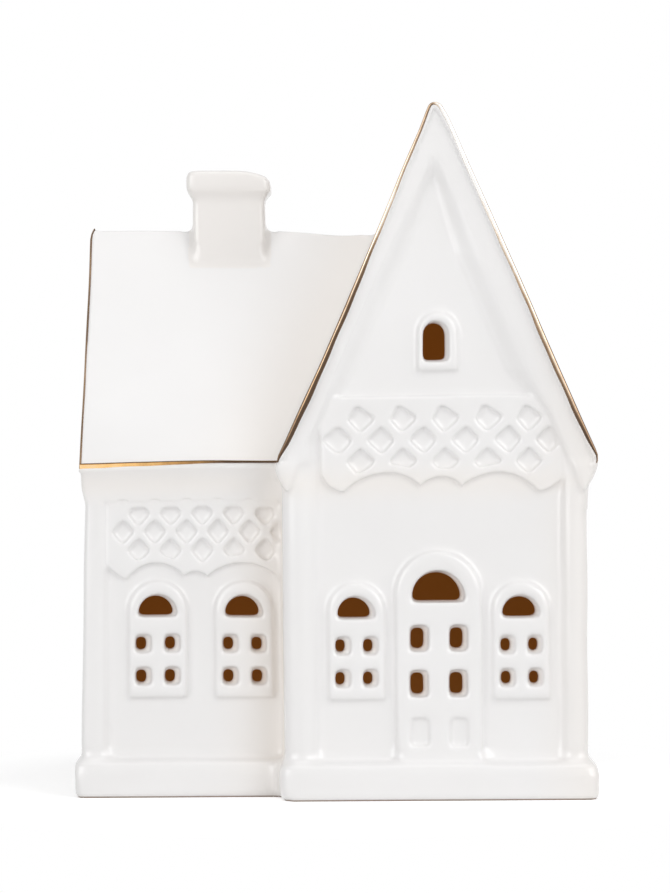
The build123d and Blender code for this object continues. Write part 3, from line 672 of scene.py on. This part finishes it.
def rounded_outline(corners, steps=5):
    """Corners of radius and height joined by a smooth line, both ends kept."""
    made = []
    for i, corner in enumerate(corners):
        if i in (0, len(corners) - 1):
            made.append(corner)
            continue
        before, after = corners[i - 1], corners[i + 1]
        start = [0.68 * c + 0.32 * b for c, b in zip(corner, before)]
        end = [0.68 * c + 0.32 * a for c, a in zip(corner, after)]
        for k in range(steps):
            t = k / (steps - 1)
            parts = ((1 - t) ** 2, 2 * t * (1 - t), t * t)
            spots = zip(start, corner, end)
            made.append(tuple(parts[0] * p + parts[1] * c + parts[2] * q for p, c, q in spots))
    return made


def tealight_pieces():
    """The tealight's looks by node: fluted foil cup, wax with a meniscus, stamped sustainer and wick."""
    rim, top = CUP_RADIUS / MM, cup_high.z / MM
    flutes = 56

    def fluted(angle, radius, height):
        side = min(1.0, max(0.0, (height - 1.6) / 1.5)) * min(1.0, max(0.0, (top - 1.9 - height) / 1.5))
        outer = 1.0 if radius > rim - 2.4 else 0.0
        return radius + 0.10 * side * outer * math.cos(flutes * angle), height

    foil = [
        (0, 0.55), (7, 0.55), (12.6, 0.5), (13.4, 0.15), (15.2, 0.0), (16.9, 0.0), (17.9, 0.35), (18.3, 1.4),
        (18.45, 4), (18.55, 8), (18.65, 12), (18.7, 13.6), (18.8, 14.2), (rim, 14.6), (rim, 15.2),
        (rim - 0.35, top), (rim - 0.75, top - 0.1), (rim - 0.85, 14.7), (18.3, 14.1), (18.25, 12),
        (18.15, 8), (18.05, 4), (17.85, 1.6), (17.3, 0.75), (15.5, 0.5), (13.6, 0.7), (12.6, 0.95), (7, 0.95),
        (0, 0.95),
    ]
    wax = [
        (0, 1.0), (7, 1.0), (12.5, 1.0), (14.0, 0.8), (16.9, 0.9), (17.75, 1.9), (18.0, 4), (18.1, 8),
        (18.2, 12.0), (18.22, 12.55), (17.9, 12.3), (17.0, 12.05), (14, 11.95), (9, 11.9), (5, 11.8),
        (2.6, 11.65), (1.5, 11.75), (1.05, 12.2), (0.85, 12.6), (0.5, 12.2), (0, 12.0),
    ]
    disc = [
        (0, 1.0), (2, 1.0), (4.4, 1.0), (5.5, 1.05), (6.0, 1.2), (6.0, 1.4), (5.4, 1.42), (4.2, 1.3),
        (2.4, 1.32), (1.5, 1.5), (1.25, 2.0), (1.15, 3.6), (1.05, 3.9), (0.6, 3.9), (0, 3.8),
    ]
    return {
        "tealight_cup": lathe("tealight_foil_cup", rounded_outline(foil), 224, fluted),
        "tealight_wax": lathe("tealight_wax_fill", rounded_outline(wax), 96),
        "wick_sustainer": lathe("sustainer_disc", rounded_outline(disc), 64),
        "tealight_wick": braided_wick(),
    }


def braided_wick():
    """Three waxed strands laid round each other, ending in a dipped tip."""
    made = bmesh.new()
    low, high = wick_low.z + 0.6 * MM, wick_high.z
    steps, sides, pitch = 90, 12, 4.2 * MM
    for strand in range(3):
        rings = []
        for i in range(steps + 1):
            t = i / steps
            height = low + (high - low) * t
            turn = 2 * math.pi * ((height - low) / pitch + strand / 3)
            taper = 1 - 0.45 * max(0.0, (t - 0.93) / 0.07) ** 2
            core = 0.33 * MM * taper
            thick = 0.40 * MM * taper
            side_x, side_y = core * math.cos(turn), core * math.sin(turn)
            centre = Vector((light_x + side_x, light_y + side_y, height - thick * t))
            ring = []
            for k in range(sides):
                angle = 2 * math.pi * k / sides
                ring.append(made.verts.new(centre + Vector((math.cos(angle), math.sin(angle), 0)) * thick))
            rings.append(ring)
        for first, second in zip(rings, rings[1:]):
            for k in range(sides):
                made.faces.new((first[k], first[(k + 1) % sides], second[(k + 1) % sides], second[k]))
        for ring, step in ((rings[0], -0.2), (rings[-1], 0.35)):
            middle = sum((v.co for v in ring), Vector()) / sides + Vector((0, 0, step * MM))
            tip = made.verts.new(middle)
            for k in range(sides):
                made.faces.new((ring[k], ring[(k + 1) % sides], tip))
    return smooth_shaded(new_object("wick_braid", mesh_from(made, "wick_braid")), 60)


tealight = tealight_pieces()


# Materials

def material(name):
    made = bpy.data.materials.new(name)
    made.use_nodes = True
    tree = made.node_tree
    return made, tree, tree.nodes["Principled BSDF"]


def noise_node(tree, scale, detail=2.0, roughness=0.5):
    made = tree.nodes.new("ShaderNodeTexNoise")
    made.inputs["Scale"].default_value = scale
    made.inputs["Detail"].default_value = detail
    made.inputs["Roughness"].default_value = roughness
    place = tree.nodes.new("ShaderNodeTexCoord").outputs["Object"]
    tree.links.new(place, made.inputs["Vector"])
    return made.outputs["Fac"]


def ramp_node(tree, source, *stops):
    made = tree.nodes.new("ShaderNodeValToRGB")
    ramp = made.color_ramp
    while len(ramp.elements) < len(stops):
        ramp.elements.new(0.5)
    for element, (place, colour) in zip(ramp.elements, stops):
        element.position = place
        element.color = (*colour, 1)
    tree.links.new(source, made.inputs["Fac"])
    return made.outputs["Color"]


def bump_node(tree, height, strength, distance, below=None):
    made = tree.nodes.new("ShaderNodeBump")
    made.inputs["Strength"].default_value = strength
    made.inputs["Distance"].default_value = distance
    tree.links.new(height, made.inputs["Height"])
    if below is not None:
        tree.links.new(below, made.inputs["Normal"])
    return made.outputs["Normal"]


def attribute_node(tree, name):
    made = tree.nodes.new("ShaderNodeAttribute")
    made.attribute_name = name
    return made.outputs["Fac"]


def colour_mix(tree, factor, first, second):
    """First colour where the factor is 0, second where it is 1."""
    made = tree.nodes.new("ShaderNodeMix")
    made.data_type = "RGBA"
    tree.links.new(factor, made.inputs[0])
    for socket, colour in ((made.inputs[6], first), (made.inputs[7], second)):
        if isinstance(colour, tuple):
            socket.default_value = (*colour, 1)
        else:
            tree.links.new(colour, socket)
    return made.outputs[2]


def glaze():
    made, tree, shader = material("glazed_porcelain")
    pooled = noise_node(tree, 26, 3.0)
    white = ramp_node(tree, pooled, (0.3, (0.868, 0.856, 0.850)), (0.7, (0.890, 0.880, 0.876)))
    # Painted warm shade: a cream tint in the valley, the inner corners, under the eaves, on the stack and on
    # the gable's right
    warm_shade_tint = colour_mix(tree, attribute_node(tree, "warm_shade_tint"), white, (1.0, 0.82, 0.62))
    # Painted shade: the sides of the lights are tinted brown towards the inside
    reveal_shaded = colour_mix(tree, attribute_node(tree, "reveal_shade"), warm_shade_tint, (0.50, 0.26, 0.09))
    # Painted contact shadow: a dark brown band over the lowest half millimetre of the glaze, darkest below a
    # quarter millimetre
    place = tree.nodes.new("ShaderNodeSeparateXYZ")
    tree.links.new(tree.nodes.new("ShaderNodeTexCoord").outputs["Object"], place.inputs["Vector"])
    contact_shadow = tree.nodes.new("ShaderNodeMapRange")
    contact_shadow.inputs["From Min"].default_value = 0.50 * MM
    contact_shadow.inputs["From Max"].default_value = 0.25 * MM
    tree.links.new(place.outputs["Z"], contact_shadow.inputs["Value"])
    colour = colour_mix(tree, contact_shadow.outputs["Result"], reveal_shaded, (0.34, 0.25, 0.19))
    tree.links.new(colour, shader.inputs["Base Color"])
    fine = bump_node(tree, noise_node(tree, 900, 2.0), 0.05, 0.02 * MM)
    broad = bump_node(tree, noise_node(tree, 90, 2.0), 0.25, 0.12 * MM, fine)
    tree.links.new(broad, shader.inputs["Normal"])
    tree.links.new(broad, shader.inputs["Coat Normal"])
    shader.inputs["Roughness"].default_value = 0.32
    shader.inputs["IOR"].default_value = 1.5
    shader.inputs["Coat Weight"].default_value = 0.7
    shader.inputs["Coat Roughness"].default_value = 0.18
    return made


def mottled(name, mottle, colours, relief, strength, depth, roughness, metallic=0.0):
    """A look whose colour follows one noise and whose relief another, both as scale, detail, roughness."""
    made, tree, shader = material(name)
    cloud = noise_node(tree, *mottle)
    tree.links.new(ramp_node(tree, cloud, *colours), shader.inputs["Base Color"])
    tree.links.new(bump_node(tree, noise_node(tree, *relief), strength, depth), shader.inputs["Normal"])
    shader.inputs["Roughness"].default_value = roughness
    shader.inputs["Metallic"].default_value = metallic
    return made, shader


def inside_glow():
    # Painted shade and glow: the inside is dark brown and glows faintly, for the dim warm light that comes in
    # through the porcelain walls
    colours = (0.3, (0.36, 0.19, 0.07)), (0.7, (0.46, 0.25, 0.10))
    made, shader = mottled("inside_painted_glow_and_shade", (40, 4.0), colours, (1500, 3.0), 0.3, 0.05 * MM, 0.75)
    shader.inputs["Emission Color"].default_value = (0.62, 0.23, 0.035, 1)
    shader.inputs["Emission Strength"].default_value = 0.10
    return made


def biscuit_foot():
    colours = (0.3, (0.66, 0.58, 0.50)), (0.7, (0.78, 0.72, 0.65))
    return mottled("biscuit_foot", (120, 4.0), colours, (2500, 4.0), 0.4, 0.05 * MM, 0.85)[0]


def foil_aluminium():
    colours = (0.3, (0.74, 0.74, 0.76)), (0.7, (0.86, 0.86, 0.87))
    return mottled("cup_aluminium", (500, 3.0), colours, (240, 3.0), 0.35, 0.12 * MM, 0.26, 1.0)[0]


def candle_wax():
    colours = (0.3, (0.86, 0.845, 0.80)), (0.7, (0.92, 0.905, 0.87))
    made, shader = mottled("candle_wax", (130, 3.0), colours, (420, 3.0), 0.3, 0.15 * MM, 0.42)
    shader.inputs["IOR"].default_value = 1.43
    shader.inputs["Subsurface Weight"].default_value = 0.3
    shader.inputs["Subsurface Radius"].default_value = (2.0 * MM, 1.7 * MM, 1.3 * MM)
    shader.inputs["Subsurface Scale"].default_value = 1.0
    return made


def tinned_steel():
    colours = (0.35, (0.52, 0.52, 0.54)), (0.65, (0.68, 0.68, 0.70))
    return mottled("sustainer_steel", (700, 2.0), colours, (700, 2.0), 0.2, 0.05 * MM, 0.34, 1.0)[0]


def wick_cotton():
    colours = (0.3, (0.78, 0.75, 0.66)), (0.7, (0.90, 0.88, 0.82))
    return mottled("wick_cotton", (3200, 3.0, 0.7), colours, (3200, 3.0, 0.7), 0.6, 0.08 * MM, 0.7)[0]


# Gold colours for the painted reflection: dark brown where dark surroundings would be mirrored, up to a
# bright painted highlight; the second ramp's highlight runs orange
GOLD_REFLECTION_RAMP = (
    (0.05, (0.065, 0.043, 0.031)), (0.25, (0.15, 0.095, 0.060)), (0.50, (0.44, 0.30, 0.19)),
    (0.75, (0.80, 0.67, 0.53)), (1.0, (0.96, 0.94, 0.91)),
)
ORANGE_REFLECTION_RAMP = (
    (0.05, (0.065, 0.040, 0.026)), (0.25, (0.16, 0.09, 0.045)), (0.48, (0.60, 0.34, 0.13)),
    (0.68, (1.0, 0.62, 0.26)), (1.0, (0.96, 0.82, 0.62)),
)


def lustre(name, stops):
    """Fired gold: its colour follows the bead's painted reflection, from dark brown to a bright painted
    highlight, broken up a little by wear.
    """
    made, tree, shader = material(name)
    worn = tree.nodes.new("ShaderNodeMapRange")
    worn.inputs["To Min"].default_value = 0.78
    worn.inputs["To Max"].default_value = 1.22
    tree.links.new(noise_node(tree, 420, 3.0, 0.6), worn.inputs["Value"])
    shade = tree.nodes.new("ShaderNodeMath")
    shade.operation = "MULTIPLY"
    tree.links.new(attribute_node(tree, "painted_reflection"), shade.inputs[0])
    tree.links.new(worn.outputs["Result"], shade.inputs[1])
    colour = ramp_node(tree, shade.outputs["Value"], *stops)
    tree.links.new(colour, shader.inputs["Base Color"])
    wavy = bump_node(tree, noise_node(tree, 300, 2.0), 0.3, 0.1 * MM)
    tree.links.new(wavy, shader.inputs["Normal"])
    shader.inputs["Metallic"].default_value = 1.0
    shader.inputs["Roughness"].default_value = 0.14
    return made


GLAZE, PAINTED_INSIDE, FOOT = glaze(), inside_glow(), biscuit_foot()
GOLD_WITH_PAINTED_REFLECTION, ORANGE_GOLD_WITH_PAINTED_REFLECTION = lustre("gold_lustre", GOLD_REFLECTION_RAMP), lustre("gold_lustre_orange_reflection", ORANGE_REFLECTION_RAMP)


# Glaze outside, bare biscuit under the foot, and inside a painted dark brown shade with a painted glow

def dress_body(obj):
    mesh = obj.data
    for made in (GLAZE, PAINTED_INSIDE, FOOT):
        mesh.materials.append(made)
    count = len(mesh.polygons)
    centres = np.zeros(count * 3, np.float32)
    normals = np.zeros(count * 3, np.float32)
    mesh.polygons.foreach_get("center", centres)
    mesh.polygons.foreach_get("normal", normals)
    x, y, z = centres.reshape(-1, 3).T
    up = normals.reshape(-1, 3)[:, 2]
    slack = 0.5 * MM
    wall = 4 * MM
    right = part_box("gable_right_wall")[0].x + slack
    left = left_return + wall - slack
    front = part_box("gable_front_wall")[1].y - slack
    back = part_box("gable_back_wall")[0].y + slack
    under = tall_peak - np.abs(x - gable_x) * tall_rise
    reach = wall * math.hypot(1, tall_rise) - 2.2 * slack
    tall_room = (x > left) & (x < right) & (y > front) & (y < back) & (z < under - reach)
    wing_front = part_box("wing_front_wall")[1].y - slack
    wing_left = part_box("wing_left_wall")[0].x + wall - slack
    wing_under = wing_high.z - np.abs(y - wing_ridge_y) * wing_rise
    wing_reach = wall * math.hypot(1, wing_rise) - 2.2 * slack
    wing_room = (x > wing_left) & (x <= gable_x) & (y > wing_front) & (y < back)
    wing_room &= z < wing_under - wing_reach
    chosen = np.where(tall_room | wing_room, 1, 0)
    chosen[(z < 0.3 * MM) & (up < -0.8)] = 2
    mesh.polygons.foreach_set("material_index", chosen.astype(np.int32))
    mesh.update()


# The two lowest door panels, below this height, are blind
LOWEST_LIGHT = 23.5 * MM


def point_attribute(obj, name, values):
    layer = obj.data.attributes.new(name, "FLOAT", "POINT")
    layer.data.foreach_set("value", values.astype(np.float32))


def paint_reveal_shade(obj):
    """Painted shade: the sides of the lights are tinted brown, more deeply towards the inside, for the shade
    that falls in the reveals.
    """
    spots = vertices_of(obj.data)
    x, y, z = spots.T
    reveal_shade = np.zeros(len(spots))
    for node in CRISP_NODES:
        low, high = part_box(node)
        radius = (high.x - low.x) / 2
        above = np.maximum(z - (high.z - radius), 0)
        inside = np.hypot(x - (low.x + high.x) / 2, above) < radius - 1.5 * MM
        inside &= (z > max(LOWEST_LIGHT, low.z + 1.6 * MM)) & (y < high.y + 9 * MM)
        deep = np.clip((y - low.y - 1.2 * MM) / (4.2 * MM), 0, 1) * inside
        reveal_shade = np.maximum(reveal_shade, 0.85 * deep)
    point_attribute(obj, "reveal_shade", reveal_shade)


def paint_warm_shade(obj):
    """Painted warm shade: a cream tint in the valley, the inner corners, under the eaves, on the stack and
    towards the gable's right, where the shade is warm.
    """
    spots = vertices_of(obj.data)
    x, y, z = spots.T
    above = z > eave_z
    behind = np.clip((y - front_low.y - 4 * MM) / (9 * MM), 0, 1)
    parts = (
        0.16 * falloff(tall_depth(x, z), 15 * MM) * above * (x < gable_x) * (y > front_low.y + 8 * MM),
        0.20 * falloff(x - left_return, 11 * MM) * ~above * behind,
        0.12 * falloff(z - (eave_z - 5 * MM), 4 * MM),
        0.11 * inside_boxes(spots, ("chimney_stack", "chimney_cap"), 1 * MM),
        0.12 * np.clip((x - gable_x - 24 * MM) / (14 * MM), 0, 1),
    )
    point_attribute(obj, "warm_shade_tint", np.max(parts, axis=0))


dress_body(body)
paint_reveal_shade(body)
paint_warm_shade(body)
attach(body, "house")
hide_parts(*PORCELAIN_NODES)
for node, band in gold_bands.items():
    band.data.materials.append(ORANGE_GOLD_WITH_PAINTED_REFLECTION if "eave" in node or "back" in node else GOLD_WITH_PAINTED_REFLECTION)
    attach(band, "house")
    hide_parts(node)


TEALIGHT_LOOKS = {
    "tealight_cup": ("cup_aluminium", foil_aluminium()),
    "tealight_wax": ("candle_wax", candle_wax()),
    "wick_sustainer": ("sustainer_steel", tinned_steel()),
    "tealight_wick": ("wick_cotton", wick_cotton()),
}
for node, piece in tealight.items():
    slot, look = TEALIGHT_LOOKS[node]
    piece.data.materials.append(look)
    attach(piece, "tealight")
    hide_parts(node)


# Camera, light and floor

IMAGE_HEIGHT = 893
FOCAL_PIXELS = 3200.0
SENSOR_WIDTH = 36.0
CAMERA_ROLL = 0.336
CAMERA_PLACE = (0.36 * MM, -848 * MM, 88.85 * MM)


def photograph_camera():
    """Square on to the front, on the middle of the photograph."""
    data = bpy.data.cameras.new("camera")
    data.sensor_fit = "AUTO"
    data.sensor_width = SENSOR_WIDTH
    data.lens = SENSOR_WIDTH * FOCAL_PIXELS / IMAGE_HEIGHT
    data.clip_start = 0.01
    camera = new_object("camera", data)
    camera.location = CAMERA_PLACE
    camera.rotation_euler = (math.radians(90), math.radians(CAMERA_ROLL), 0)
    bpy.context.scene.camera = camera


def softbox(name, size, place, target, power):
    """A rectangular lamp that looks at its target."""
    data = bpy.data.lights.new(name, "AREA")
    data.shape = "RECTANGLE"
    data.size, data.size_y = size
    data.energy = power
    light = new_object(name, data)
    light.location = place
    light.rotation_euler = (Vector(target) - Vector(place)).to_track_quat("-Z", "Y").to_euler()


# Each lamp's size, place and power
LAMPS = {
    "overhead": ((0.9, 0.9), (0.10, -0.15, 1.2), 2.85),
    "key_right": ((0.6, 0.8), (0.75, -0.95, 0.60), 4.5),
    "side_right": ((0.6, 0.8), (1.15, -0.45, 0.50), 2.3),
    "fill_left": ((0.8, 0.9), (-0.80, -0.95, 0.45), 5.4),
}
WORLD_LEVEL = 0.30


def seen_ray(tree):
    """1 for rays of the camera and for those that gloss or glass sends on, else 0."""
    path = tree.nodes.new("ShaderNodeLightPath")
    total = path.outputs["Is Camera Ray"]
    for name in ("Is Glossy Ray", "Is Transmission Ray"):
        made = tree.nodes.new("ShaderNodeMath")
        made.operation = "MAXIMUM"
        tree.links.new(total, made.inputs[0])
        tree.links.new(path.outputs[name], made.inputs[1])
        total = made.outputs["Value"]
    return total


def studio():
    world = bpy.data.worlds.new("studio")
    bpy.context.scene.world = world
    world.use_nodes = True
    tree = world.node_tree
    background = tree.nodes["Background"]
    background.inputs["Color"].default_value = (1, 1, 1, 1)
    level = tree.nodes.new("ShaderNodeMix")
    level.inputs["A"].default_value = WORLD_LEVEL
    level.inputs["B"].default_value = 1.0
    tree.links.new(seen_ray(tree), level.inputs["Factor"])
    tree.links.new(level.outputs["Result"], background.inputs["Strength"])
    for name, (size, place, power) in LAMPS.items():
        softbox(name, size, place, (0.0, 0.0, 80 * MM), power)


# The floor turns plain white between these distances from the middle
NEAR_FLOOR = 0.075
FAR_FLOOR = 0.125
FLOOR_HALF = 3.0
FLOOR_GLOW = 0.42


def emission(tree, strength):
    made = tree.nodes.new("ShaderNodeEmission")
    made.inputs["Strength"].default_value = strength
    return made.outputs["Emission"]


def mixed_shaders(tree, factor, first, second):
    made = tree.nodes.new("ShaderNodeMixShader")
    tree.links.new(factor, made.inputs["Fac"])
    tree.links.new(first, made.inputs[1])
    tree.links.new(second, made.inputs[2])
    return made.outputs["Shader"]


def floor():
    """Pale floor with the object's shadow, seen as plain white further out."""
    mesh = bpy.data.meshes.new("floor")
    corners = [(x * FLOOR_HALF, y * FLOOR_HALF, 0) for x, y in ((-1, -1), (1, -1), (1, 1), (-1, 1))]
    mesh.from_pydata(corners, [], [(0, 1, 2, 3)])
    obj = new_object("floor", mesh)
    made, tree, shader = material("floor")
    shader.inputs["Base Color"].default_value = (0.86, 0.86, 0.86, 1)
    shader.inputs["Roughness"].default_value = 0.9
    lit = tree.nodes.new("ShaderNodeAddShader")
    tree.links.new(shader.outputs["BSDF"], lit.inputs[0])
    tree.links.new(emission(tree, FLOOR_GLOW), lit.inputs[1])
    distance = tree.nodes.new("ShaderNodeVectorMath")
    distance.operation = "LENGTH"
    tree.links.new(tree.nodes.new("ShaderNodeTexCoord").outputs["Object"], distance.inputs[0])
    far = tree.nodes.new("ShaderNodeMapRange")
    far.interpolation_type = "SMOOTHSTEP"
    far.inputs["From Min"].default_value = NEAR_FLOOR
    far.inputs["From Max"].default_value = FAR_FLOOR
    tree.links.new(distance.outputs["Value"], far.inputs["Value"])
    seen = mixed_shaders(tree, far.outputs["Result"], lit.outputs["Shader"], emission(tree, 1.0))
    whole = mixed_shaders(tree, seen_ray(tree), shader.outputs["BSDF"], seen)
    tree.links.new(whole, tree.nodes["Material Output"].inputs["Surface"])
    mesh.materials.append(made)


photograph_camera()
studio()
floor()
bpy.context.scene.view_settings.view_transform = "Standard"
